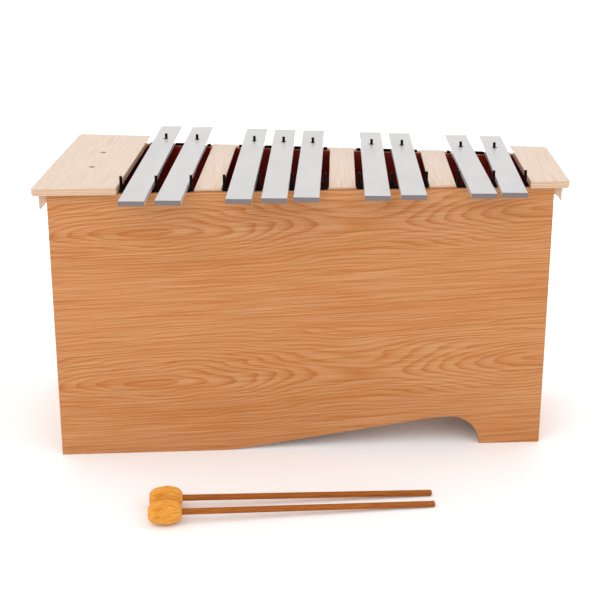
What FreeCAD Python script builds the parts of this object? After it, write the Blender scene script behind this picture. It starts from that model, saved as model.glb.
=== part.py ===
"""Bass metallophone, chromatic half: nine loose aluminium bars over a floor-standing
resonator box, with its pair of yarn mallets lying in front of it.

Units are millimetres. +X points to the treble end, +Y to the back, +Z up. The origin is on
the floor, in the middle of the footprint of the instrument and its mallets.
"""
import FreeCAD, Part
import Sketcher
import math
import os

Vector = FreeCAD.Vector
Rotation = FreeCAD.Rotation

DIMENSIONS = [
    # resonator box
    ("case_width", 750.0),
    ("case_height", 422.0),
    ("half_depth", 135.0),        # box centre line to the outer face, at the middle of its width
    ("skew", 0.088),              # how much each long face closes in per millimetre of width
    ("case_centre_y", 73.0),      # box centre line behind the origin
    ("board", 18.0),
    ("floor_panel_height", 58.0),
    ("floor_panel_thick", 8.0),
    ("partition_thick", 9.0),
    # arch in the bottom edge of the front and back boards
    ("arch_start", -135.0),
    ("arch_rise", 48.0),
    ("arch_bend_radius", 300.0),
    ("arch_ramp_angle", 8.5),
    # slots for bars and fillers
    ("slot_pitch", 50.0),
    ("first_post", -267.5),
    ("filler_width", 39.5),
    ("filler_thick", 4.5),
    ("filler_front_inset", 4.6),
    ("filler_back_inset", 12.0),
    # round rubber cords that the bars lie on
    ("rest_thick", 4.5),
    ("rest_end_round", 0.6),
    ("rest_front_gap", 1.5),      # from a cord's end to the filler or cap beside it
    ("rest_back_gap", 4.5),
    # guide nails and their sleeves, measured in from the box's outer face
    ("guide_front_inset", 6.5),
    ("guide_back_inset", 11.5),
    ("nail_radius", 1.25),
    ("nail_depth", 25.0),
    ("sleeve_roof", 2.5),
    ("post_stand", 20.5),         # above the cord
    ("post_foot_radius", 3.0),
    ("post_radius", 2.1),
    ("post_foot_height", 9.0),
    ("pin_stand", 15.7),
    ("pin_radius", 2.25),
    # bars
    ("bar_width", 36.8),
    ("bar_thick", 7.5),
    ("bar_length_first", 476.0),
    ("bar_setback", 1.0),         # middle of a bar behind the box's centre line
    ("bar_length_step", 11.0),
    ("bar_hole_radius", 4.25),
    ("bar_scoop_share", 0.15),
    ("bar_scoop_depth", 2.2),
    ("bar_edge_radius", 0.7),
    # end caps
    ("cap_thick", 11.0),
    ("cap_side_overhang", 21.5),
    ("cap_face_overhang", 8.0),
    ("cap_corner_radius", 9.0),
    ("cap_edge_radius", 1.6),
    ("cap_left_inner", -272.5),
    ("cap_right_inner", 337.5),
    ("mallet_hole_radius", 4.8),
    ("mallet_hole_left", -331.0),
    ("mallet_hole_offset", 46.5),
    # grip battens
    ("grip_width", 12.0),
    ("grip_drop", 23.0),
    ("grip_root", 12.0),
    ("grip_hollow_radius", 17.0),
    ("grip_tip", 1.6),
    ("grip_inset", 2.0),
    # mallets
    ("shaft_radius", 4.4),
    ("shaft_length", 400.0),
    ("shaft_set", 14.0),          # shaft end past the middle of the head
    ("core_radius", 11.0),
    ("core_half", 16.0),
    ("head_radius", 17.4),
    ("head_half", 23.2),
    ("head_shoulder_radius", 15.6),
    ("head_shoulder", 12.3),
    ("head_end_radius", 6.0),
    ("head_belly_curve", 42.925),
    ("head_end_curve", 13.0),
]

BAR_NOTES = {1: "c_sharp_low", 2: "d_sharp_low", 4: "f_sharp_low", 5: "g_sharp_low", 6: "a_sharp",
             8: "c_sharp_high", 9: "d_sharp_high", 11: "f_sharp_high", 12: "g_sharp_high"}
# the bars lie loose and the guides are set by eye, so each bar has its own pin's and its own
# middle's shift along X from the middle of its slot, and its own turn in degrees
BAR_LIE = {1: (0.9, 1.0, 0.6), 2: (4.2, 4.4, 0.0), 4: (2.2, 2.3, 0.18), 5: (1.9, 2.3, 0.25),
           6: (1.2, -0.1, -0.35), 8: (-0.6, -0.4, 0.12), 9: (-0.3, 0.4, 0.49),
           11: (-3.5, -0.9, 1.2), 12: (1.3, 0.6, -1.1)}
POST_SHIFT = (0.1, 1.3, 2.2, 0.7, 1.85, 0.0, -0.5, -0.35, -1.1, 0.1, -1.9, 0.55, -1.7)
FILLER_SHIFT = {3: 1.8, 7: -0.1, 10: -0.4}
FILLER_SLOTS = (3, 7, 10)
BAR_GROUPS = ((1, 2), (4, 5, 6), (8, 9), (11, 12))
SLOT_COUNT = 12
# head centre on the floor plan of the box, and heading in degrees, for each mallet
MALLETS = {"rear": (-191.0, -322.5, 7.3), "front": (-187.5, -360.5, 8.4)}

FRONT, BACK = -1, 1
LEFT, RIGHT = -1, 1
SIDE_WORD = {FRONT: "front", BACK: "back"}
STAND = {FRONT: "post_stand", BACK: "pin_stand"}

doc = FreeCAD.newDocument("bass_metallophone")
sheet = doc.addObject("Spreadsheet::Sheet", "Dimensions")
for row, (alias, value) in enumerate(DIMENSIONS, start=1):
    sheet.set("A%d" % row, alias)
    sheet.set("B%d" % row, str(value))
    sheet.setAlias("B%d" % row, alias)
doc.recompute()

size = {alias: value for alias, value in DIMENSIONS}
subparts = []


def named(formula):
    """Expression with every dimension word pointed at the spreadsheet."""
    words = sorted(size, key=len, reverse=True)
    out = ""
    i = 0
    while i < len(formula):
        word = next((w for w in words if formula.startswith(w, i)
                     and not formula[i + len(w):i + len(w) + 1].isidentifier()), None)
        if word:
            out += "Dimensions." + word
            i += len(word)
        else:
            out += formula[i]
            i += 1
    return out


def value_of(formula):
    """Number that an expression gives."""
    return float(sheet.evalExpression(named(formula)))


def keep(feature, label, placement=None):
    """Register a finished sub-part under its node name."""
    feature.Label = label
    if placement is not None:
        feature.Placement = placement
    subparts.append(feature)
    return feature


def new_body(label):
    return doc.addObject("PartDesign::Body", label + "_body")


def in_case(z=0.0):
    """Placement of everything that belongs to the box: its centre line behind the origin."""
    return FreeCAD.Placement(Vector(0, size["case_centre_y"], z), Rotation())


def new_sketch(body, name, plane, lift=None):
    """Sketch on one of the body's own origin planes, lifted along the plane's normal."""
    sketch = body.newObject("Sketcher::SketchObject", name)
    support = next(f for f in body.Origin.OriginFeatures if f.Role == plane)
    sketch.AttachmentSupport = [(support, "")]
    sketch.MapMode = "FlatFace"
    if lift is not None:
        sketch.setExpression("AttachmentOffset.Base.z", named(lift))
    return sketch


def pin_point(sketch, edge, end, x, y, tag):
    """Hold a point of the sketch at two driven distances from its origin."""
    for kind, formula in (("DistanceX", x), ("DistanceY", y)):
        constraint = Sketcher.Constraint(kind, -1, 1, edge, end, value_of(formula))
        index = sketch.addConstraint(constraint)
        sketch.renameConstraint(index, "%s_%s" % (tag, kind[-1].lower()))
        sketch.setExpression("Constraints[%d]" % index, named(formula))


def arc_between(start, end, radius, side):
    """Circle arc from start to end; side +1 bulges it to the left of the way, -1 to the right."""
    chord = end - start
    normal = Vector(-chord.y, chord.x, 0).normalize()
    reach = math.sqrt(radius * radius - chord.Length * chord.Length / 4)
    centre = (start + end) * 0.5 - normal * (side * reach)
    first, last = (end, start) if side > 0 else (start, end)
    angles = [math.atan2(p.y - centre.y, p.x - centre.x) for p in (first, last)]
    return Part.ArcOfCircle(Part.Circle(centre, Vector(0, 0, 1), radius), *angles)


def outline(body, name, plane, corners, arcs=None, lift=None):
    """Closed outline through driven corners. arcs maps an edge's number to (radius, side)."""
    arcs = arcs or {}
    sketch = new_sketch(body, name, plane, lift)
    points = [Vector(value_of(x), value_of(y), 0) for x, y in corners]
    ends = []
    for i, start in enumerate(points):
        end = points[(i + 1) % len(points)]
        if i in arcs:
            radius, side = arcs[i]
            sketch.addGeometry(arc_between(start, end, value_of(radius), side), False)
            ends.append((2, 1) if side > 0 else (1, 2))
        else:
            sketch.addGeometry(Part.LineSegment(start, end), False)
            ends.append((1, 2))
    for i, (x, y) in enumerate(corners):
        follower = (i + 1) % len(corners)
        sketch.addConstraint(Sketcher.Constraint("Coincident", i, ends[i][1],
                                                 follower, ends[follower][0]))
        pin_point(sketch, i, ends[i][0], x, y, "corner%d" % i)
    for i, (radius, side) in arcs.items():
        index = sketch.addConstraint(Sketcher.Constraint("Radius", i, value_of(radius)))
        sketch.setExpression("Constraints[%d]" % index, named(radius))
    return sketch


def circles(body, name, plane, centres, radius, lift=None):
    """Sketch of equal circles at driven centres."""
    sketch = new_sketch(body, name, plane, lift)
    for i, (x, y) in enumerate(centres):
        centre = Vector(value_of(x), value_of(y), 0)
        sketch.addGeometry(Part.Circle(centre, Vector(0, 0, 1), value_of(radius)), False)
        pin_point(sketch, i, 3, x, y, "centre%d" % i)
        index = sketch.addConstraint(Sketcher.Constraint("Radius", i, value_of(radius)))
        sketch.setExpression("Constraints[%d]" % index, named(radius))
    return sketch


def pad(body, sketch, length, both_ways=False):
    feature = body.newObject("PartDesign::Pad", sketch.Name + "_pad")
    feature.Profile = sketch
    feature.setExpression("Length", named(length))
    if both_ways:
        feature.SideType = "Symmetric"
    sketch.Visibility = False
    return feature


def pocket(body, sketch, depth=None, both_ways=False):
    """Cut below the sketch, to a depth, or through the whole body."""
    doc.recompute()
    before = body.Shape.Volume
    feature = body.newObject("PartDesign::Pocket", sketch.Name + "_pocket")
    feature.Profile = sketch
    if depth is None:
        feature.Type = "ThroughAll"
    else:
        feature.setExpression("Length", named(depth))
    if both_ways:
        feature.SideType = "Symmetric"
    doc.recompute()
    if body.Shape.Volume >= before - 1e-3:
        raise RuntimeError("%s cuts nothing" % feature.Name)
    return feature


def round_edges(body, name, radius, wanted):
    """Fillet the edges of the body's last feature that the test picks."""
    doc.recompute()
    base = body.Tip
    edges = ["Edge%d" % (i + 1) for i, edge in enumerate(base.Shape.Edges) if wanted(edge)]
    feature = body.newObject("PartDesign::Fillet", name)
    feature.Base = (base, edges)
    feature.setExpression("Radius", named(radius))
    doc.recompute()
    return feature


def face_line(side, x, inset="0"):
    """Y of the front or back face of the box at x, moved inwards by the inset."""
    return "%d * (half_depth - skew * (%s) - (%s))" % (side, x, inset)


def post_x(number):
    return "first_post + %d * slot_pitch + (%s)" % (number, POST_SHIFT[number])


def slot_x(slot):
    return "first_post + (%d - 0.5) * slot_pitch" % slot


def pin_x(slot):
    return slot_x(slot) + " + (%s)" % BAR_LIE[slot][0]


def filler_x(slot):
    return slot_x(slot) + " + (%s)" % FILLER_SHIFT[slot]


def guide_inset(side):
    return "guide_%s_inset" % SIDE_WORD[side]


def band(side, x_low, x_high, outer, inner):
    """Corners of a strip that follows the front or back face, from one inset to another."""
    return [(x_low, face_line(side, x_low, outer)), (x_high, face_line(side, x_high, outer)),
            (x_high, face_line(side, x_high, inner)), (x_low, face_line(side, x_low, inner))]


def across(x_low, x_high, front_inset, back_inset):
    """Corners of a plate that spans the box from front to back."""
    return [(x_low, face_line(FRONT, x_low, front_inset)), (x_high, face_line(FRONT, x_high, front_inset)),
            (x_high, face_line(BACK, x_high, back_inset)), (x_low, face_line(BACK, x_low, back_inset))]


def nail_centres(side):
    """Where the guide nails stand: a post at each slot's edge in front, one per bar behind."""
    if side == FRONT:
        columns = [post_x(i) for i in range(SLOT_COUNT + 1)]
    else:
        columns = [pin_x(slot) for slot in BAR_NOTES]
    return [(x, face_line(side, x, guide_inset(side))) for x in columns]


def long_board(label, side):
    """Front or back board: arched at the bottom, drilled along the top for the guide nails."""
    body = new_body(label)
    plan = outline(body, label + "_plan", "XY_Plane",
                   band(side, "-case_width / 2", "case_width / 2", "0", "board"))
    pad(body, plan, "case_height")
    run = "2 * arch_bend_radius * sin(arch_ramp_angle * 1deg)"
    climb = "2 * arch_bend_radius * (1 - cos(arch_ramp_angle * 1deg))"
    half_run = "arch_bend_radius * sin(arch_ramp_angle * 1deg)"
    half_climb = "arch_bend_radius * (1 - cos(arch_ramp_angle * 1deg))"
    crown = "arch_start + %s + (arch_rise - %s) / tan(arch_ramp_angle * 1deg)" % (run, climb)
    corners = [("arch_start", "0"),
               ("arch_start + " + half_run, half_climb),
               (crown + " - " + half_run, "arch_rise - " + half_climb),
               (crown, "arch_rise"),
               (crown + " + arch_rise", "0")]
    arcs = {0: ("arch_bend_radius", -1), 2: ("arch_bend_radius", 1), 3: ("arch_rise", 1)}
    arch = outline(body, label + "_arch", "XZ_Plane", corners, arcs)
    pocket(body, arch, both_ways=True)
    nails = circles(body, label + "_nail_holes", "XY_Plane", nail_centres(side), "nail_radius",
                    lift="case_height")
    pocket(body, nails, "nail_depth")
    keep(body, label, in_case())


def end_board(label, side):
    """Side wall between the two long boards."""
    body = new_body(label)
    outer = "%d * case_width / 2" % side
    inner = "%d * (case_width / 2 - board)" % side
    low, high = (outer, inner) if side == LEFT else (inner, outer)
    plan = outline(body, label + "_plan", "XY_Plane", across(low, high, "board", "board"))
    pad(body, plan, "case_height")
    keep(body, label, in_case())


def floor_panel():
    """Closes the resonator above the arches."""
    body = new_body("resonator_floor")
    inner = "(case_width / 2 - board)"
    plan = outline(body, "resonator_floor_plan", "XY_Plane",
                   across("-" + inner, inner, "board", "board"), lift="floor_panel_height")
    pad(body, plan, "floor_panel_thick")
    keep(body, "resonator_floor", in_case())


def partition(number, slot):
    """Divider between two chambers, hidden below a filler."""
    label = "chamber_partition_%d" % number
    body = new_body(label)
    plan = outline(body, label + "_plan", "XY_Plane",
                   across(slot_x(slot) + " - partition_thick / 2",
                          slot_x(slot) + " + partition_thick / 2", "board", "board"),
                   lift="floor_panel_height + floor_panel_thick")
    pad(body, plan, "case_height - floor_panel_height - floor_panel_thick")
    keep(body, label, in_case())


def filler(number, slot):
    """Thin slat over a slot that has no bar."""
    label = "slot_filler_%d" % number
    body = new_body(label)
    plan = outline(body, label + "_plan", "XY_Plane",
                   across(filler_x(slot) + " - filler_width / 2",
                          filler_x(slot) + " + filler_width / 2",
                          "filler_front_inset", "filler_back_inset"),
                   lift="case_height")
    pad(body, plan, "filler_thick")
    keep(body, label, in_case())


def group_span(side, number):
    """Left and right ends of the rest under one group of bars."""
    gap = "rest_%s_gap" % SIDE_WORD[side]
    low = "cap_left_inner + " + gap
    if number > 0:
        low = filler_x(FILLER_SLOTS[number - 1]) + " + filler_width / 2 + " + gap
    high = "cap_right_inner - " + gap
    if number < len(FILLER_SLOTS):
        high = filler_x(FILLER_SLOTS[number]) + " - filler_width / 2 - " + gap
    return low, high


def along_face(side):
    """Turn that takes X to the way a long board runs."""
    return Rotation(Vector(0, 0, 1), math.degrees(math.atan(-side * size["skew"])))


def rest_cord(side, number):
    """Round rubber cord along the top of one long board, pierced by the guide nails."""
    label = "%s_rest_%d" % (SIDE_WORD[side], number + 1)
    body = new_body(label)
    low, high = group_span(side, number)
    stretch = "sqrt(1 + skew * skew)"
    section = circles(body, label + "_section", "YZ_Plane", [("0", "0")], "rest_thick / 2")
    pad(body, section, "((%s) - (%s)) * %s" % (high, low, stretch))
    round_edges(body, label + "_end_round", "rest_end_round",
                lambda edge: edge.BoundBox.XLength < 0.01)
    slots = BAR_GROUPS[number]
    columns = [pin_x(slot) for slot in slots]
    if side == FRONT:
        columns = [post_x(i) for i in range(slots[0] - 1, slots[-1] + 1)]
    centres = [("((%s) - (%s)) * %s" % (x, low, stretch), "0") for x in columns]
    holes = circles(body, label + "_nail_holes", "XY_Plane", centres, "nail_radius",
                    lift="rest_thick / 2")
    pocket(body, holes, "rest_thick")
    start = Vector(value_of(low),
                   size["case_centre_y"] + value_of(face_line(side, low, guide_inset(side))),
                   size["case_height"] + size["rest_thick"] / 2)
    keep(body, label, FreeCAD.Placement(start, along_face(side)))


def primitive(kind, name, sizes, x, y, z):
    """Round primitive on a vertical axis, driven by the sheet."""
    solid = doc.addObject("Part::" + kind, name)
    for prop, formula in sizes.items():
        solid.setExpression(prop, named(formula))
    for axis, formula in (("x", x), ("y", y), ("z", z)):
        solid.setExpression("Placement.Base." + axis, named(formula))
    return solid


def combined(kind, name, base, tool):
    feature = doc.addObject("Part::" + kind, name)
    feature.Base = base
    feature.Tool = tool
    return feature


def compound(label, members):
    group = doc.addObject("Part::Compound", label + "_group")
    group.Links = members
    keep(group, label, in_case())


def guide_nails(label, side):
    """Steel nails that stand in one long board, as separate solids."""
    nails = []
    height = "nail_depth + rest_thick + %s - sleeve_roof" % STAND[side]
    for i, (x, y) in enumerate(nail_centres(side)):
        nails.append(primitive("Cylinder", "%s_%d" % (label, i),
                               {"Radius": "nail_radius", "Height": height},
                               x, y, "case_height - nail_depth"))
    compound(label, nails)


def cord_in_foot(name, x, y):
    """The stretch of cord that a post's foot straddles."""
    solid = doc.addObject("Part::Cylinder", name)
    solid.setExpression("Radius", named("rest_thick / 2"))
    solid.setExpression("Height", named("4 * post_foot_radius"))
    turn = along_face(FRONT).multiply(Rotation(Vector(0, 1, 0), 90))
    middle = Vector(value_of(x), value_of(y), size["case_height"] + size["rest_thick"] / 2)
    half = turn.multVec(Vector(0, 0, 2 * size["post_foot_radius"]))
    solid.Placement = FreeCAD.Placement(middle - half, turn)
    return solid


def sleeve(name, side, x, y):
    """Rubber sleeve over a nail. A front post flares out and straddles the cord at its foot;
    a back pin is straight and stands on the cord."""
    if side == FRONT:
        foot = "case_height + rest_thick / 2"
        stem = primitive("Cylinder", name + "_stem",
                         {"Radius": "post_radius", "Height": "rest_thick / 2 + post_stand"}, x, y, foot)
        flare = primitive("Cone", name + "_flare",
                          {"Radius1": "post_foot_radius", "Radius2": "post_radius",
                           "Height": "post_foot_height"}, x, y, foot)
        body = combined("Fuse", name + "_body", stem, flare)
        outside = combined("Cut", name + "_outside", body, cord_in_foot(name + "_cord", x, y))
    else:
        foot = "case_height + rest_thick"
        outside = primitive("Cylinder", name + "_outside",
                            {"Radius": "pin_radius", "Height": "pin_stand"}, x, y, foot)
    bore = primitive("Cylinder", name + "_bore",
                     {"Radius": "nail_radius",
                      "Height": "rest_thick + %s - sleeve_roof" % STAND[side]}, x, y, "case_height")
    return combined("Cut", name, outside, bore)


def guide_sleeves(label, side):
    sleeves = [sleeve("%s_%d" % (label, i), side, x, y)
               for i, (x, y) in enumerate(nail_centres(side))]
    compound(label, sleeves)


def bar(slot, note):
    """Aluminium bar, scooped underneath for tuning and drilled for its back pin."""
    label = "bar_" + note
    body = new_body(label)
    half = "(bar_length_first - %d * bar_length_step) / 2" % (slot - 1)
    scoop = "(bar_length_first - %d * bar_length_step) * bar_scoop_share" % (slot - 1)
    curve = "((%s) * (%s) + bar_scoop_depth * bar_scoop_depth) / (2 * bar_scoop_depth)" % (scoop, scoop)
    corners = [("-" + half, "0"), ("-" + scoop, "0"), (scoop, "0"), (half, "0"),
               (half, "bar_thick"), ("-" + half, "bar_thick")]
    profile = outline(body, label + "_profile", "YZ_Plane", corners, {1: (curve, 1)})
    pad(body, profile, "bar_width", both_ways=True)
    centre = ("0", face_line(BACK, pin_x(slot), guide_inset(BACK)) + " - bar_setback")
    hole = circles(body, label + "_hole", "XY_Plane", [centre], "bar_hole_radius", lift="bar_thick")
    pocket(body, hole, "bar_thick")
    top = size["bar_thick"]
    round_edges(body, label + "_edge_round", "bar_edge_radius",
                lambda edge: abs(edge.BoundBox.ZMin - top) < 0.01)
    shift, turn = BAR_LIE[slot][1:]
    place = Vector(value_of(slot_x(slot)) + shift, size["case_centre_y"] + size["bar_setback"],
                   size["case_height"] + size["rest_thick"])
    keep(body, label, FreeCAD.Placement(place, Rotation(Vector(0, 0, 1), turn)))


def cap_outline(side, inner):
    """Four corners of an end cap, which overhangs the box on its three outer sides."""
    outer = "%d * (case_width / 2 + cap_side_overhang)" % side
    reach = "-cap_face_overhang"
    corners = []
    for face in (FRONT, BACK):
        corners.append([(inner, face_line(face, inner, reach)),
                        (outer, face_line(face, outer, reach))])
    (front_in, front_out), (back_in, back_out) = corners
    if side == LEFT:
        return [front_out, front_in, back_in, back_out]
    return [front_in, front_out, back_out, back_in]


def end_cap(label, side, inner, holes):
    """Plywood cap over one end of the box."""
    body = new_body(label)
    plan = outline(body, label + "_plan", "XY_Plane", cap_outline(side, inner), lift="case_height")
    pad(body, plan, "cap_thick")
    outer = side * (size["case_width"] / 2 + size["cap_side_overhang"])
    round_edges(body, label + "_corner_round", "cap_corner_radius",
                lambda edge: abs(edge.BoundBox.XMin - outer) < 0.01
                and abs(edge.BoundBox.XMax - outer) < 0.01 and edge.BoundBox.YLength < 0.01)
    round_edges(body, label + "_edge_round", "cap_edge_radius",
                lambda edge: edge.BoundBox.ZLength < 0.01)
    if holes:
        drilled = circles(body, label + "_holes", "XY_Plane", holes, "mallet_hole_radius",
                          lift="case_height + cap_thick")
        pocket(body, drilled, "cap_thick")
    keep(body, label, in_case())


def grip(label, side):
    """Batten under a cap, outside the end wall, hollowed on its underside for the fingers."""
    body = new_body(label)
    wall = "%d * case_width / 2" % side
    face = "%d * (case_width / 2 + grip_width)" % side
    heel = "%d * (case_width / 2 + grip_width - grip_tip)" % side
    corners = [(wall, "case_height"), (face, "case_height"), (face, "case_height - grip_drop"),
               (heel, "case_height - grip_drop"), (wall, "case_height - grip_root")]
    profile = outline(body, label + "_profile", "XZ_Plane", corners,
                      {3: ("grip_hollow_radius", 1 if side == LEFT else -1)})
    pad(body, profile, "2 * (half_depth - %d * skew * case_width / 2 - grip_inset)" % side,
        both_ways=True)
    keep(body, label, in_case())


def revolved(body, name, corners, arcs=None):
    """Solid of revolution about the body's X axis."""
    profile = outline(body, name, "XZ_Plane", corners, arcs)
    feature = body.newObject("PartDesign::Revolution", name + "_turn")
    feature.Profile = profile
    feature.ReferenceAxis = (profile, ["H_Axis"])
    feature.Angle = 360.0
    doc.recompute()
    return feature


def mallet(name, plan_x, plan_y, heading):
    """Wooden shaft, rubber core and yarn winding, lying on the floor on head and shaft end."""
    shaft_end = size["shaft_length"] - size["shaft_set"]
    # the belly arc touches the floor below its own centre, which is a little off the head's
    # middle, so the slope is found first without that shift and then with it
    belly_drop = size["head_belly_curve"] - size["head_radius"]
    slope = math.asin((size["head_radius"] - size["shaft_radius"]) / shaft_end)
    height = size["head_belly_curve"] - belly_drop * math.cos(slope)
    fit_slope = math.asin((height - size["shaft_radius"] * math.cos(slope)) / shaft_end)
    place = Vector(plan_x, plan_y + size["case_centre_y"], height)
    turn = Rotation(Vector(0, 0, 1), heading).multiply(
        Rotation(Vector(0, 1, 0), math.degrees(fit_slope)))
    placement = FreeCAD.Placement(place, turn)

    shaft = new_body("mallet_%s_shaft" % name)
    rod = circles(shaft, "mallet_%s_rod" % name, "YZ_Plane", [("0", "0")], "shaft_radius",
                  lift="-shaft_set")
    pad(shaft, rod, "shaft_length")
    keep(shaft, "mallet_%s_shaft" % name, placement)

    core = new_body("mallet_%s_core" % name)
    revolved(core, "mallet_%s_core_profile" % name,
             [("-core_half", "0"), ("-shaft_set", "0"), ("-shaft_set", "shaft_radius"),
              ("core_half", "shaft_radius"), ("core_half", "core_radius"),
              ("-core_half", "core_radius")])
    keep(core, "mallet_%s_core" % name, placement)

    yarn = new_body("mallet_%s_yarn" % name)
    revolved(yarn, "mallet_%s_yarn_profile" % name,
             [("-head_half", "0"), ("-core_half", "0"), ("-core_half", "core_radius"),
              ("core_half", "core_radius"), ("core_half", "shaft_radius"),
              ("head_half", "shaft_radius"), ("head_half", "head_end_radius"),
              ("head_shoulder", "head_shoulder_radius"), ("-head_shoulder", "head_shoulder_radius"),
              ("-head_half", "head_end_radius")],
             {6: ("head_end_curve", -1), 7: ("head_belly_curve", -1), 8: ("head_end_curve", -1)})
    keep(yarn, "mallet_%s_yarn" % name, placement)


def build():
    long_board("front_board", FRONT)
    long_board("back_board", BACK)
    end_board("left_end_board", LEFT)
    end_board("right_end_board", RIGHT)
    floor_panel()
    for number, slot in enumerate(FILLER_SLOTS, start=1):
        partition(number, slot)
        filler(number, slot)
    for number in range(len(BAR_GROUPS)):
        rest_cord(FRONT, number)
        rest_cord(BACK, number)
    guide_nails("front_guide_nails", FRONT)
    guide_nails("back_guide_nails", BACK)
    guide_sleeves("front_post_sleeves", FRONT)
    guide_sleeves("back_pin_sleeves", BACK)
    for slot, note in BAR_NOTES.items():
        bar(slot, note)
    hole_row = [("mallet_hole_left", "-mallet_hole_offset"),
                ("mallet_hole_left", "mallet_hole_offset")]
    end_cap("left_cap", LEFT, "cap_left_inner", hole_row)
    end_cap("right_cap", RIGHT, "cap_right_inner", [])
    grip("left_grip", LEFT)
    grip("right_grip", RIGHT)
    for name, (plan_x, plan_y, heading) in MALLETS.items():
        mallet(name, plan_x, plan_y, heading)


def check():
    """Stop on any object that failed, before anything is written."""
    doc.recompute()
    for item in doc.Objects:
        if {"Invalid", "Error"} & set(item.State):
            raise RuntimeError("%s failed: %s" % (item.Name, item.State))
    for item in subparts:
        if item.Shape.isNull() or not item.Shape.isValid():
            raise RuntimeError("%s has no valid shape" % item.Label)


def write():
    os.makedirs("parts", exist_ok=True)
    for item in subparts:
        item.Shape.exportStep(os.path.join("parts", item.Label + ".step"))
    print("%d sub-parts written" % len(subparts))


build()
check()
write()
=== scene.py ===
import math

import bmesh
import bpy
from mathutils import Matrix, Vector


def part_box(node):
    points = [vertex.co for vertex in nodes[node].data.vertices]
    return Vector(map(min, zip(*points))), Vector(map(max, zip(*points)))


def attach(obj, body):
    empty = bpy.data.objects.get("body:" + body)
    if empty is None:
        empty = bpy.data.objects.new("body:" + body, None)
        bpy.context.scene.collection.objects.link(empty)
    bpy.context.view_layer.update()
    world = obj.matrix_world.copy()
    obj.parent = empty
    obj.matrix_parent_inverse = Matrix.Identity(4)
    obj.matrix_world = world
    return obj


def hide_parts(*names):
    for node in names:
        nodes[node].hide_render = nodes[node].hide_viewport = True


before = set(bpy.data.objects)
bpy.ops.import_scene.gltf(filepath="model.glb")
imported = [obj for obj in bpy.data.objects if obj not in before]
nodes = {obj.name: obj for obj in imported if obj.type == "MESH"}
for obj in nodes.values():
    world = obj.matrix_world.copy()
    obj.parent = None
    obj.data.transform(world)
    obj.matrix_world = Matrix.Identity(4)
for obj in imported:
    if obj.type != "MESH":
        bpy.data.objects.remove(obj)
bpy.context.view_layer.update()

CASE_CENTRE_Y = 0.073          # the box's centre line, in the row frame
CHORD = 0.004                  # shorter edges belong to drilled holes and get no bevel


# ---------------------------------------------------------------- colours and shader nodes

STUDIO_LIGHT = 1.2             # strength of the light all round


def linear(value):
    """Linear light of an 8-bit display value."""
    share = value / 255
    return share / 12.92 if share <= 0.04045 else ((share + 0.055) / 1.055) ** 2.4


def srgb(red, green, blue):
    """Base colour that looks like this 8-bit display colour in the studio's light."""
    return tuple(linear(value) / STUDIO_LIGHT for value in (red, green, blue)) + (1.0,)


class Shader:
    """A Principled material and the nodes that feed it, in object coordinates of 1 mm."""

    def __init__(self, name, **settings):
        self.material = bpy.data.materials.new(name)
        self.material.use_nodes = True
        self.tree = self.material.node_tree
        self.tree.nodes.clear()
        self.surface = self.node("ShaderNodeBsdfPrincipled")
        for socket, value in settings.items():
            self.surface.inputs[socket.replace("_", " ")].default_value = value
        output = self.node("ShaderNodeOutputMaterial")
        self.tree.links.new(self.surface.outputs["BSDF"], output.inputs["Surface"])
        coordinates = self.node("ShaderNodeTexCoord").outputs["Object"]
        self.place = self.scaled(coordinates, (1000, 1000, 1000))
        self.normal = self.node("ShaderNodeNewGeometry").outputs["Normal"]

    def node(self, kind, **attributes):
        made = self.tree.nodes.new(kind)
        for name, value in attributes.items():
            setattr(made, name, value)
        return made

    def feed(self, value, socket):
        if isinstance(value, bpy.types.NodeSocket):
            self.tree.links.new(value, socket)
        elif value is not None:
            socket.default_value = value

    def scaled(self, vector, factors):
        made = self.node("ShaderNodeVectorMath", operation="MULTIPLY")
        self.feed(vector, made.inputs[0])
        self.feed(factors, made.inputs[1])
        return made.outputs[0]

    def math(self, operation, a, b=None, c=None):
        made = self.node("ShaderNodeMath", operation=operation)
        for value, socket in zip((a, b, c), made.inputs):
            self.feed(value, socket)
        return made.outputs[0]

    def split(self, vector):
        made = self.node("ShaderNodeSeparateXYZ")
        self.feed(vector, made.inputs[0])
        return list(made.outputs)

    def join(self, x, y, z):
        made = self.node("ShaderNodeCombineXYZ")
        for value, socket in zip((x, y, z), made.inputs):
            self.feed(value, socket)
        return made.outputs[0]

    def turned(self, vector, angle):
        """Vector turned about Z."""
        made = self.node("ShaderNodeVectorRotate", rotation_type="Z_AXIS")
        self.feed(vector, made.inputs["Vector"])
        self.feed(angle, made.inputs["Angle"])
        return made.outputs[0]

    def noise(self, vector, detail=2.0, roughness=0.5):
        made = self.node("ShaderNodeTexNoise")
        self.feed(vector, made.inputs["Vector"])
        self.feed(1.0, made.inputs["Scale"])
        self.feed(detail, made.inputs["Detail"])
        self.feed(roughness, made.inputs["Roughness"])
        return made.outputs["Fac"]

    def spread(self, value, low, high, to_low=0.0, to_high=1.0):
        made = self.node("ShaderNodeMapRange")
        for given, socket in zip((value, low, high, to_low, to_high), made.inputs):
            self.feed(given, socket)
        return made.outputs[0]

    def ramp(self, share, *stops):
        made = self.node("ShaderNodeValToRGB")
        elements = made.color_ramp.elements
        while len(elements) < len(stops):
            elements.new(0.5)
        for element, (position, colour) in zip(elements, stops):
            element.position = position
            element.color = colour
        self.feed(share, made.inputs[0])
        return made.outputs["Color"]

    def mix(self, share, first, second):
        made = self.node("ShaderNodeMix", data_type="RGBA")
        for value, index in ((share, 0), (first, 6), (second, 7)):
            self.feed(value, made.inputs[index])
        return made.outputs[2]

    def set(self, socket, value):
        self.feed(value, self.surface.inputs[socket])

    def bump(self, height, distance):
        made = self.node("ShaderNodeBump")
        self.feed(height, made.inputs["Height"])
        self.feed(distance, made.inputs["Distance"])
        self.feed(1.0, made.inputs["Strength"])
        self.set("Normal", made.outputs[0])


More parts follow.
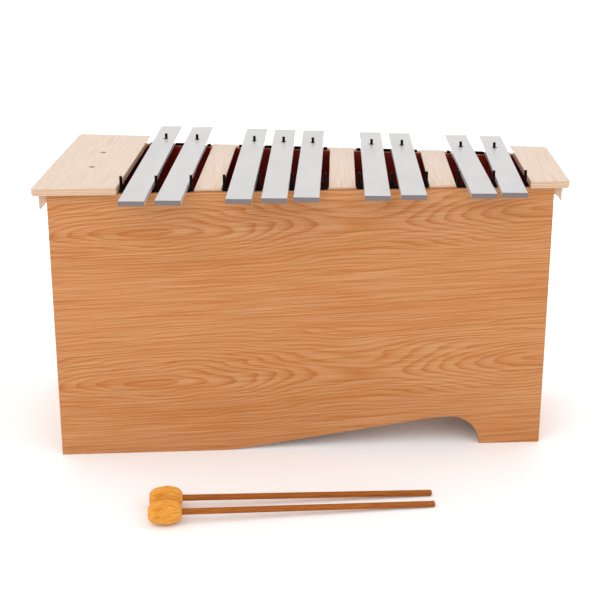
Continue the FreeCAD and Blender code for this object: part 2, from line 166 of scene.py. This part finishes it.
# ---------------------------------------------------------------- materials

REPEAT = 243.0                 # the printed grain repeats at this height, in millimetres
EYE_X, EYE_Z = -226.0, 364.0   # middle of the closed figure
FIGURE_LENGTH = 620.0          # from the closed figure to the next along the grain
FIGURE_RISE = 0.04
RING = 5.0
PANEL_TOP = 62.0               # the stain stops at the floor panel, in millimetres


def box_laminate():
    """Wood print with a cathedral figure that repeats up the panel, and a stained inside."""
    s = Shader("box_laminate_grain", Specular_IOR_Level=0.2)
    x, y, z = s.split(s.place)
    nx, ny, nz = s.split(s.normal)
    on_end = s.math("GREATER_THAN", s.math("ABSOLUTE", nx), 0.6)
    along = s.math("MULTIPLY_ADD", on_end, s.math("SUBTRACT", y, x), x)
    centre_line = s.math("MULTIPLY_ADD", s.math("SUBTRACT", along, EYE_X), FIGURE_RISE, EYE_Z)
    turn = s.math("MULTIPLY", s.math("SUBTRACT", z, centre_line), 2 * math.pi / REPEAT)
    # a point round a cylinder gives noise that repeats with the print
    roll = REPEAT / (2 * math.pi)
    round_y = s.math("MULTIPLY", s.math("COSINE", turn), roll)
    round_z = s.math("MULTIPLY", s.math("SINE", turn), roll)
    sheet = s.join(along, round_y, round_z)

    def grain(along_scale, across_scale, detail=2.0, roughness=0.5):
        stretched = s.scaled(sheet, (along_scale, across_scale, across_scale))
        return s.noise(stretched, detail, roughness)

    sway = s.spread(grain(0.006, 0.02, 1.5), 0.25, 0.75, -6.0, 6.0)
    ripple = s.spread(grain(0.03, 0.06, 2.0), 0.25, 0.75, -0.7, 0.7)
    height = s.math("ADD", s.math("SUBTRACT", z, centre_line), s.math("ADD", sway, ripple))
    tile = s.math("FRACT", s.math("MULTIPLY_ADD", height, 1 / REPEAT, 0.5))
    across = s.math("MULTIPLY", s.math("SUBTRACT", tile, 0.5), REPEAT)
    swing = s.math("MULTIPLY", s.math("SUBTRACT", along, EYE_X), 2 * math.pi / FIGURE_LENGTH)
    depth = s.math("MULTIPLY_ADD", s.math("COSINE", swing), -17.0, 26.0)
    radius = s.math("SQRT", s.math("ADD", s.math("POWER", depth, 2.0),
                                   s.math("POWER", s.math("ABSOLUTE", across), 2.0)))
    uneven = s.spread(grain(0.004, 0.03, 2.0), 0.3, 0.7, -0.8, 0.8)
    ring = s.math("FRACT", s.math("ADD", s.math("MULTIPLY", radius, 1 / RING), uneven))

    light, mid, dark = srgb(214, 153, 102), srgb(202, 133, 76), srgb(184, 100, 36)
    figure = s.ramp(ring, (0.0, light), (0.35, light), (0.62, mid), (0.86, dark), (1.0, light))
    plain = s.mix(s.spread(grain(0.006, 0.35, 3.0, 0.6), 0.3, 0.7), srgb(196, 122, 60), light)
    near = s.spread(s.math("ABSOLUTE", across), 20.0, 110.0, 0.7, 0.25)
    wood = s.mix(near, plain, figure)
    wood = s.mix(s.spread(grain(0.0035, 0.018, 2.0), 0.5, 0.75, 0.0, 0.5), wood,
                 srgb(192, 116, 52))
    streak = grain(0.007, 0.55, 4.0, 0.62)
    wood = s.mix(s.spread(streak, 0.5, 0.68, 0.0, 0.6), wood, srgb(180, 100, 34))
    wood = s.mix(s.spread(streak, 0.5, 0.32, 0.0, 0.5), wood, srgb(224, 172, 126))
    pore = s.spread(grain(0.12, 3.2, 2.0, 0.5), 0.62, 0.70)
    wood = s.mix(s.math("MULTIPLY", pore, 0.3), wood, srgb(150, 76, 26))

    from_centre_y = s.math("SUBTRACT", y, CASE_CENTRE_Y * 1000)
    facing = s.math("ADD", s.math("MULTIPLY", nx, x), s.math("MULTIPLY", ny, from_centre_y))
    above_floor = s.math("GREATER_THAN", z, PANEL_TOP)
    inside = s.math("MULTIPLY", s.math("LESS_THAN", facing, -1.0), above_floor)
    edge = s.math("GREATER_THAN", s.math("ABSOLUTE", nz), 0.8)
    chip = s.noise(s.scaled(s.place, (0.4, 0.4, 0.4)), 4.0, 0.7)
    pale_edge = s.mix(chip, srgb(232, 202, 184), srgb(250, 228, 216))
    stain = s.mix(streak, srgb(130, 20, 8), srgb(190, 50, 24))
    wood = s.mix(inside, wood, stain)
    wood = s.mix(edge, wood, pale_edge)
    wood = s.mix(s.math("GREATER_THAN", nz, 0.8), wood,
                 s.mix(chip, srgb(160, 94, 58), srgb(198, 130, 84)))
    s.set("Base Color", wood)
    s.set("Roughness", s.spread(streak, 0.3, 0.7, 0.36, 0.5))
    s.bump(s.math("ADD", s.math("MULTIPLY", streak, -0.5), s.math("MULTIPLY", pore, -0.5)), 0.00012)
    return s.material


def inner_plywood():
    s = Shader("inner_plywood_stain", Specular_IOR_Level=0.1)
    streak = s.noise(s.scaled(s.place, (0.02, 0.5, 0.5)), 3.0, 0.6)
    cloud = s.noise(s.scaled(s.place, (0.012, 0.012, 0.012)), 2.0)
    wood = s.mix(streak, srgb(120, 18, 8), srgb(180, 44, 22))
    wood = s.mix(s.spread(cloud, 0.4, 0.7, 0.0, 0.6), wood, srgb(130, 24, 12))
    z, nz = s.split(s.place)[2], s.split(s.normal)[2]
    below = s.math("MULTIPLY", s.math("LESS_THAN", z, PANEL_TOP), s.math("LESS_THAN", nz, -0.5))
    wood = s.mix(below, wood, s.mix(streak, srgb(206, 148, 104), srgb(226, 176, 134)))
    s.set("Base Color", wood)
    s.set("Roughness", s.spread(streak, 0.3, 0.7, 0.5, 0.7))
    s.bump(streak, 0.0002)
    return s.material


GLUE_SHARE = 0.045             # half width of a glue line, as a share of the thickness


def pale_plywood(name, ply_axis, ply_start, ply_stops):
    """Birch-faced plywood. ply_stops are glue lines through it, and on the filler a painted shadow
    line at its foot, as (depth in mm, colour).
    """
    s = Shader("pale_plywood_" + name, Specular_IOR_Level=0.4, Coat_Weight=0.15,
               Coat_Roughness=0.25)
    x, y, z = s.split(s.place)
    nx, ny, nz = s.split(s.normal)
    drift = s.noise(s.scaled(s.place, (0.02, 0.004, 0.02)), 2.0)
    bent = s.join(s.math("MULTIPLY_ADD", drift, 14.0, x), y, z)
    line = s.noise(s.scaled(bent, (0.30, 0.012, 0.3)), 3.0, 0.62)
    fine = s.noise(s.scaled(bent, (1.8, 0.05, 1.8)), 2.0, 0.6)
    face = s.ramp(line, (0.30, srgb(208, 174, 148)), (0.46, srgb(220, 193, 171)),
                  (0.60, srgb(226, 203, 185)), (0.78, srgb(212, 181, 156)))
    face = s.mix(s.spread(fine, 0.52, 0.75, 0.0, 0.35), face, srgb(214, 178, 142))
    depth_along = (x, y, z)[ply_axis]
    if ply_axis == 0:
        depth_along = s.math("ABSOLUTE", depth_along)
    wander = s.spread(s.noise(s.scaled(s.place, (0.05, 0.05, 0.05)), 2.0), 0.3, 0.7, -0.15, 0.15)
    depth = s.math("SUBTRACT", s.math("ADD", depth_along, wander), ply_start)
    reach = ply_stops[-1][0]
    stops = []
    for level, dark in ply_stops[:-1]:
        pale = srgb(232, 198, 166)
        share = level / reach
        stops += [(share - GLUE_SHARE, pale), (share, dark), (share + GLUE_SHARE, pale)]
    plies = s.ramp(s.math("MULTIPLY", depth, 1 / reach), *stops)
    end_fleck = s.noise(s.scaled(s.place, (0.9, 0.9, 0.25)), 3.0, 0.7)
    plies = s.mix(s.spread(end_fleck, 0.5, 0.75, 0.0, 0.35), plies, srgb(176, 132, 92))
    normal = (nx, ny, nz)[ply_axis]
    on_side = s.math("LESS_THAN", s.math("ABSOLUTE", normal), 0.55)
    s.set("Base Color", s.mix(on_side, face, plies))
    s.set("Roughness", s.spread(line, 0.3, 0.7, 0.38, 0.5))
    s.bump(s.math("ADD", line, fine), 0.00008)
    return s.material


def bar_aluminium():
    s = Shader("bar_aluminium_brushed", Metallic=0.5)
    ny = s.split(s.normal)[1]
    brushed = s.noise(s.scaled(s.place, (2.6, 0.02, 2.6)), 4.0, 0.7)
    cloud = s.noise(s.scaled(s.place, (0.03, 0.012, 0.03)), 2.0)
    top = s.mix(brushed, srgb(200, 197, 197), srgb(222, 219, 218))
    top = s.mix(s.spread(cloud, 0.35, 0.7, 0.0, 0.35), top, srgb(192, 189, 189))
    saw = s.noise(s.scaled(s.place, (0.5, 0.5, 5.0)), 3.0, 0.7)
    # the bar ends take a darker base colour: painted shade on the end faces, over real saw marks
    # and a rougher finish
    cut_end_painted_shade = s.mix(saw, srgb(112, 103, 102), srgb(148, 138, 137))
    on_end = s.math("GREATER_THAN", s.math("ABSOLUTE", ny), 0.8)
    s.set("Base Color", s.mix(on_end, top, cut_end_painted_shade))
    s.set("Roughness", s.math("ADD", s.spread(brushed, 0.3, 0.7, 0.36, 0.46),
                              s.math("MULTIPLY", on_end, 0.12)))
    s.bump(s.math("ADD", brushed, s.math("MULTIPLY", saw, on_end)), 0.00004)
    return s.material


def black_rubber():
    s = Shader("black_rubber_matt", Specular_IOR_Level=0.06)
    grit = s.noise(s.scaled(s.place, (1.6, 1.6, 1.6)), 3.0, 0.6)
    cloud = s.noise(s.scaled(s.place, (0.08, 0.08, 0.08)), 2.0)
    s.set("Base Color", s.mix(cloud, srgb(4, 3, 3), srgb(12, 10, 9)))
    s.set("Roughness", s.spread(grit, 0.3, 0.7, 0.48, 0.68))
    s.bump(grit, 0.0001)
    return s.material


def nail_steel():
    s = Shader("nail_steel_bright", Metallic=1.0)
    drawn = s.noise(s.scaled(s.place, (5.0, 5.0, 0.3)), 3.0, 0.6)
    s.set("Base Color", s.mix(drawn, srgb(150, 150, 154), srgb(206, 206, 210)))
    s.set("Roughness", s.spread(drawn, 0.3, 0.7, 0.22, 0.4))
    return s.material


def shaft_wood(name, heading):
    s = Shader("shaft_wood_" + name, Specular_IOR_Level=0.2)
    lengthwise = s.turned(s.place, -heading)
    streak = s.noise(s.scaled(lengthwise, (0.03, 1.2, 1.2)), 3.0, 0.6)
    fleck = s.noise(s.scaled(lengthwise, (0.35, 4.0, 4.0)), 2.0, 0.6)
    wood = s.ramp(streak, (0.28, srgb(122, 60, 14)), (0.5, srgb(168, 92, 20)),
                  (0.72, srgb(194, 114, 32)))
    wood = s.mix(s.spread(fleck, 0.58, 0.72, 0.0, 0.5), wood, srgb(96, 48, 18))
    s.set("Base Color", wood)
    s.set("Roughness", s.spread(streak, 0.3, 0.7, 0.3, 0.42))
    s.bump(s.math("ADD", streak, fleck), 0.0001)
    return s.material


def core_rubber():
    s = Shader("core_rubber_matt", Specular_IOR_Level=0.3)
    grit = s.noise(s.scaled(s.place, (1.0, 1.0, 1.0)), 3.0, 0.6)
    s.set("Base Color", s.mix(grit, srgb(104, 88, 66), srgb(140, 122, 96)))
    s.set("Roughness", s.spread(grit, 0.3, 0.7, 0.7, 0.85))
    s.bump(grit, 0.0002)
    return s.material


def head_yarn(name, middle, heading):
    """Wool wound from pole to pole of a head, so its strands run along the shaft."""
    s = Shader("head_yarn_" + name, Specular_IOR_Level=0.1, Sheen_Weight=0.1, Sheen_Roughness=0.5)
    x, y, z = s.split(s.place)
    off_middle = s.join(*[s.math("SUBTRACT", here, centre * 1000)
                          for here, centre in zip((x, y, z), middle)])
    along, side, height = s.split(s.turned(off_middle, -heading))
    waver = s.spread(s.noise(s.scaled(off_middle, (0.05, 0.05, 0.05)), 2.0), 0.3, 0.7, -3.0, 3.0)
    round_head = s.math("MULTIPLY_ADD", s.math("ARCTAN2", side, height), HEAD_RADIUS * 1000, waver)
    strands = s.noise(s.join(s.math("MULTIPLY", along, 0.05),
                             s.math("MULTIPLY", round_head, 0.42), 0.0), 2.0, 0.6)
    cloud = s.noise(s.scaled(s.place, (0.12, 0.12, 0.12)), 2.0)
    fuzz = s.noise(s.scaled(s.place, (3.0, 3.0, 3.0)), 4.0, 0.75)
    speck = s.noise(s.scaled(s.place, (0.55, 0.55, 0.55)), 3.0, 0.7)
    wool = s.mix(cloud, srgb(240, 156, 44), srgb(252, 178, 72))
    wool = s.mix(s.spread(fuzz, 0.35, 0.7, 0.0, 0.4), wool, srgb(254, 198, 104))
    # painted shade: darker where the strand pattern sinks into the hollows between strands
    wool = s.mix(s.spread(strands, 0.52, 0.66, 0.0, 0.75), wool, srgb(222, 118, 22))
    # painted highlight: lighter on the strands' raised crests
    wool = s.mix(s.spread(strands, 0.46, 0.34, 0.0, 0.6), wool, srgb(255, 204, 118))
    wool = s.mix(s.spread(speck, 0.58, 0.75, 0.0, 0.5), wool, srgb(214, 112, 26))
    s.set("Base Color", wool)
    s.set("Roughness", s.spread(fuzz, 0.3, 0.7, 0.8, 0.95))
    s.bump(s.math("ADD", fuzz, s.math("MULTIPLY", strands, -2.0)), 0.0003)
    return s.material


# ---------------------------------------------------------------- geometry

def linked(name, mesh):
    made = bpy.data.objects.new(name, mesh)
    bpy.context.scene.collection.objects.link(made)
    return made


def smoothed(mesh, degrees):
    """Smooth shading that breaks at edges sharper than the angle."""
    form = bmesh.new()
    form.from_mesh(mesh)
    limit = math.radians(degrees)
    for face in form.faces:
        face.smooth = True
    for edge in form.edges:
        edge.smooth = len(edge.link_faces) != 2 or edge.calc_face_angle(0.0) < limit
    form.to_mesh(mesh)
    form.free()


def softened(node, bevel):
    """A copy of one of the box's CAD nodes with eased edges, which stands for it."""
    mesh = nodes[node].data.copy()
    form = bmesh.new()
    form.from_mesh(mesh)
    bmesh.ops.remove_doubles(form, verts=form.verts, dist=1e-6)
    bmesh.ops.dissolve_limit(form, angle_limit=math.radians(0.5), verts=form.verts,
                             edges=form.edges)
    sharp = [e for e in form.edges if len(e.link_faces) == 2
             and e.calc_face_angle(0.0) > math.radians(30) and e.calc_length() > CHORD]
    bmesh.ops.bevel(form, geom=sharp, offset=bevel, segments=2, profile=0.5, affect="EDGES",
                    clamp_overlap=False)
    form.to_mesh(mesh)
    form.free()
    piece = linked(node + "_eased", mesh)
    smoothed(mesh, 40)
    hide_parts(node)
    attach(piece, "case")
    return piece


def dress(piece, material):
    piece.data.materials.clear()
    piece.data.materials.append(material)
    for face in piece.data.polygons:
        face.material_index = 0


def lathe(name, profile, sides, matrix):
    """Surface of revolution about local X from (place along, radius) pairs."""
    form = bmesh.new()
    rings = []
    for along, radius in profile:
        if radius == 0:
            rings.append([form.verts.new((along, 0, 0))])
            continue
        rings.append([form.verts.new((along, radius * math.cos(2 * math.pi * i / sides),
                                      radius * math.sin(2 * math.pi * i / sides)))
                      for i in range(sides)])
    for first, second in zip(rings, rings[1:]):
        for i in range(sides):
            j = (i + 1) % sides
            corners = [first[i % len(first)], second[i % len(second)], second[j % len(second)],
                       first[j % len(first)]]
            form.faces.new(list(dict.fromkeys(corners)))
    bmesh.ops.recalc_face_normals(form, faces=form.faces)
    bmesh.ops.transform(form, matrix=matrix, verts=form.verts)
    mesh = bpy.data.meshes.new(name)
    form.to_mesh(mesh)
    form.free()
    smoothed(mesh, 35)
    return linked(name, mesh)


HEAD_HALF, HEAD_RADIUS = 0.0232, 0.0174
BELLY_CURVE, END_CURVE = 0.042925, 0.013
SHOULDER, SHOULDER_RADIUS, END_RADIUS = 0.0123, 0.0156, 0.006
STRAND = 0.00085               # radius of the yarn
STRAND_STEP = 0.0011           # between two rings of its tube
STRAND_TWIST = 0.9             # radians from one ring to the next
# loops, distance from the shaft's axis, tilt, lift and starting turn of each layer of yarn
WINDINGS = ((46, 0.0058, 0.10, -0.0006, 0.0), (30, 0.0075, -0.22, 0.0, 0.7))
UNDERLAY = 0.0016              # how deep the underlay lies in the winding
RIM, RIM_RADIUS = 0.0012, 0.0045
SHAFT_RADIUS, TIP_ROUND = 0.0044, 0.0022


def head_radius(along):
    """Radius of the wound head at a place along its axis."""
    place = abs(along)
    if place <= SHOULDER:
        return HEAD_RADIUS - BELLY_CURVE + math.sqrt(BELLY_CURVE ** 2 - place ** 2)
    # arc of the end curve from the shoulder to the rim
    start, end = Vector((SHOULDER, SHOULDER_RADIUS)), Vector((HEAD_HALF, END_RADIUS))
    middle, chord = (start + end) / 2, end - start
    rise = math.sqrt(END_CURVE ** 2 - (chord.length / 2) ** 2)
    centre = middle + Vector((chord.y, -chord.x)).normalized() * rise
    return centre.y + math.sqrt(max(END_CURVE ** 2 - (place - centre.x) ** 2, 0.0))


def wound_path(loops, offset, tilt, lift, step, phase):
    """Points of a strand wound over both ends of the head, clear of the shaft by offset."""
    points = []
    # the loop is a flat cut of the head, so find how far along the axis that cut reaches
    reach = HEAD_HALF
    while head_radius(reach) - STRAND + lift < offset:
        reach -= 0.0001
    count = int(loops * 2 * math.pi * 0.02 / step)
    for i in range(count):
        t = 2 * math.pi * loops * i / count
        along = reach * math.sin(t)
        radius = head_radius(along) - STRAND + lift
        side = math.sqrt(max(radius ** 2 - offset ** 2, 0.0)) * (1 if math.cos(t) > 0 else -1)
        turn = phase + math.pi * i / count + tilt * math.sin(t)
        points.append(Vector((along, side * math.cos(turn) - offset * math.sin(turn),
                              side * math.sin(turn) + offset * math.cos(turn))))
    return points


def strand(form, points, radius, twist):
    """Tube with a two-ply twist along the points."""
    sides = 6
    previous = None
    across = Vector((0, 0, 1))
    for i, point in enumerate(points):
        ahead = points[min(i + 1, len(points) - 1)] - points[max(i - 1, 0)]
        ahead.normalize()
        across = (across - ahead * across.dot(ahead)).normalized()
        upward = ahead.cross(across)
        ring = []
        for k in range(sides):
            angle = 2 * math.pi * k / sides
            swell = radius * (1 + 0.14 * math.cos(2 * (angle - twist * i)))
            ring.append(form.verts.new(point + across * (swell * math.cos(angle))
                                       + upward * (swell * math.sin(angle))))
        if previous:
            for k in range(sides):
                m = (k + 1) % sides
                form.faces.new((previous[k], previous[m], ring[m], ring[k]))
        previous = ring


# ---------------------------------------------------------------- the object

laminate = box_laminate()
plywood_inside = inner_plywood()
GLUE, DARK_PLY_AND_SHADOW_LINE = srgb(180, 124, 88), srgb(148, 92, 60)
CASE_TOP, WALL_FACE = 422.0, 375.0   # where the plies start, in millimetres
cap_ply = pale_plywood("cap", 2, CASE_TOP, [
    (0.9, GLUE), (3.2, DARK_PLY_AND_SHADOW_LINE), (5.6, GLUE), (8.4, DARK_PLY_AND_SHADOW_LINE), (10.2, GLUE), (11.0, None)])
# the dark line at the foot of the filler is painted shadow under the filler; above it are glue
# lines
filler_ply = pale_plywood("filler", 2, CASE_TOP, [
    (0.3, DARK_PLY_AND_SHADOW_LINE), (1.5, GLUE), (3.1, GLUE), (4.5, None)])
grip_ply = pale_plywood("grip", 0, WALL_FACE, [
    (1.4, GLUE), (3.4, DARK_PLY_AND_SHADOW_LINE), (5.6, GLUE), (7.8, DARK_PLY_AND_SHADOW_LINE), (10.0, GLUE), (12.0, None)])
aluminium = bar_aluminium()
rubber = black_rubber()
steel = nail_steel()
core = core_rubber()

for board in ("front_board", "back_board", "left_end_board", "right_end_board"):
    dress(softened(board, 0.0008), laminate)
for panel in ("resonator_floor", "chamber_partition_1", "chamber_partition_2",
              "chamber_partition_3"):
    dress(nodes[panel], plywood_inside)
for number in (1, 2, 3):
    dress(softened("slot_filler_%d" % number, 0.0006), filler_ply)
for side in ("left", "right"):
    dress(nodes[side + "_cap"], cap_ply)
    dress(softened(side + "_grip", 0.0005), grip_ply)
for name, node in nodes.items():
    if "rest" in name or "sleeves" in name:
        dress(node, rubber)
    elif "nails" in name:
        dress(node, steel)
    elif name.startswith("bar_"):
        dress(node, aluminium)
    elif name.endswith("_core"):
        dress(node, core)


def mallet_axis(which):
    """Middle of the head, and the way the shaft points from it, from the CAD pieces."""
    low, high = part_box("mallet_%s_yarn" % which)
    shaft = nodes["mallet_%s_shaft" % which].data
    corners = {tuple(round(c, 6) for c in v.co) for v in shaft.vertices}
    middle = sum(c[0] for c in corners) / len(corners)
    ends = []
    for half in ([c for c in corners if c[0] < middle], [c for c in corners if c[0] >= middle]):
        ends.append(sum((Vector(c) for c in half), Vector()) / len(half))
    return (low + high) / 2, ends[0], ends[1]


for which in ("rear", "front"):
    head, near_end, far_end = mallet_axis(which)
    way = (far_end - near_end).normalized()
    level = Vector((0, 0, 1)).cross(way).normalized()
    matrix = Matrix((way, level, way.cross(level))).transposed().to_4x4()
    matrix.translation = head
    shaft_low, shaft_high = (near_end - head).dot(way), (far_end - head).dot(way)
    rounding = [(shaft_high - TIP_ROUND + TIP_ROUND * math.sin(a),
                 SHAFT_RADIUS - TIP_ROUND + TIP_ROUND * math.cos(a))
                for a in [math.radians(15 * k) for k in range(7)]]
    profile = [(shaft_low, 0), (shaft_low, SHAFT_RADIUS), (shaft_low + 0.1, SHAFT_RADIUS),
               (shaft_low + 0.25, SHAFT_RADIUS)] + rounding + [(shaft_high, 0)]
    rod = lathe("mallet_%s_rod" % which, profile, 40, matrix)
    dress(rod, shaft_wood(which, math.atan2(way.y, way.x)))
    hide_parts("mallet_%s_shaft" % which)
    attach(rod, "mallet_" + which)

    form = bmesh.new()
    for loops, offset, tilt, lift, phase in WINDINGS:
        path = wound_path(loops, offset, tilt, lift, STRAND_STEP, phase)
        strand(form, path, STRAND, STRAND_TWIST)
    bmesh.ops.transform(form, matrix=matrix, verts=form.verts)
    mesh = bpy.data.meshes.new("mallet_%s_winding" % which)
    form.to_mesh(mesh)
    form.free()
    smoothed(mesh, 180)
    winding = linked("mallet_%s_winding" % which, mesh)
    places = [HEAD_HALF * 0.94 * math.sin(math.radians(k)) for k in range(-90, 91, 9)]
    rim = ([(-HEAD_HALF + RIM, RIM_RADIUS)]
           + [(place, head_radius(place) - UNDERLAY) for place in places]
           + [(HEAD_HALF - RIM, RIM_RADIUS)])
    pad = lathe("mallet_%s_underlay" % which, rim, 48, matrix)
    yarn = head_yarn(which, head, math.atan2(way.y, way.x))
    dress(winding, yarn)
    dress(pad, yarn)
    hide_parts("mallet_%s_yarn" % which)
    for piece in (winding, pad):
        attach(piece, "mallet_" + which)


# ---------------------------------------------------------------- studio

def area_light(name, place, aim, size, power):
    lamp = bpy.data.lights.new(name, "AREA")
    lamp.shape = "RECTANGLE"
    lamp.size, lamp.size_y = size
    lamp.energy = power
    made = bpy.data.objects.new(name, lamp)
    bpy.context.scene.collection.objects.link(made)
    made.location = place
    made.visible_camera = False
    made.rotation_mode = "QUATERNION"
    made.rotation_quaternion = (Vector(aim) - Vector(place)).to_track_quat("-Z", "Y")


def floor_disc():
    form = bmesh.new()
    bmesh.ops.create_circle(form, cap_ends=True, segments=96, radius=14.0)
    mesh = bpy.data.meshes.new("studio_floor")
    form.to_mesh(mesh)
    form.free()
    disc = linked("studio_floor", mesh)
    s = Shader("studio_floor_paper", Specular_IOR_Level=0.1, Roughness=0.9)
    cloud = s.noise(s.scaled(s.place, (0.01, 0.01, 0.01)))
    s.set("Base Color", s.mix(cloud, (0.93, 0.93, 0.93, 1.0), (0.96, 0.96, 0.96, 1.0)))
    dress(disc, s.material)


floor_disc()
world = bpy.data.worlds.new("studio")
bpy.context.scene.world = world
world.use_nodes = True
world.node_tree.nodes["Background"].inputs["Color"].default_value = (1.0, 1.0, 1.0, 1.0)
world.node_tree.nodes["Background"].inputs["Strength"].default_value = STUDIO_LIGHT
area_light("key_light", (-1.4, -2.2, 2.6), (0, 0, 0.3), (2.0, 2.0), 16)
area_light("fill_light", (1.8, -1.6, 2.0), (0, 0, 0.3), (1.6, 1.6), 3)
area_light("top_light", (0.0, 0.6, 2.8), (0, 0.1, 0.3), (2.4, 1.6), 2)
area_light("back_light", (0.3, 1.5, 0.14), (0.1, 0.0, 0.05), (1.6, 0.22), 9)

camera = bpy.data.objects.new("camera", bpy.data.cameras.new("camera"))
bpy.context.scene.collection.objects.link(camera)
camera.data.sensor_width = 36.0
camera.data.lens = 71.66
camera.data.shift_y = -0.15
camera.location = (0.0466, -1.7589, 0.9042)
camera.rotation_euler = (math.radians(90 - 16.767), 0.0, math.radians(1.745))
bpy.context.scene.camera = camera
bpy.context.scene.view_settings.view_transform = "Standard"
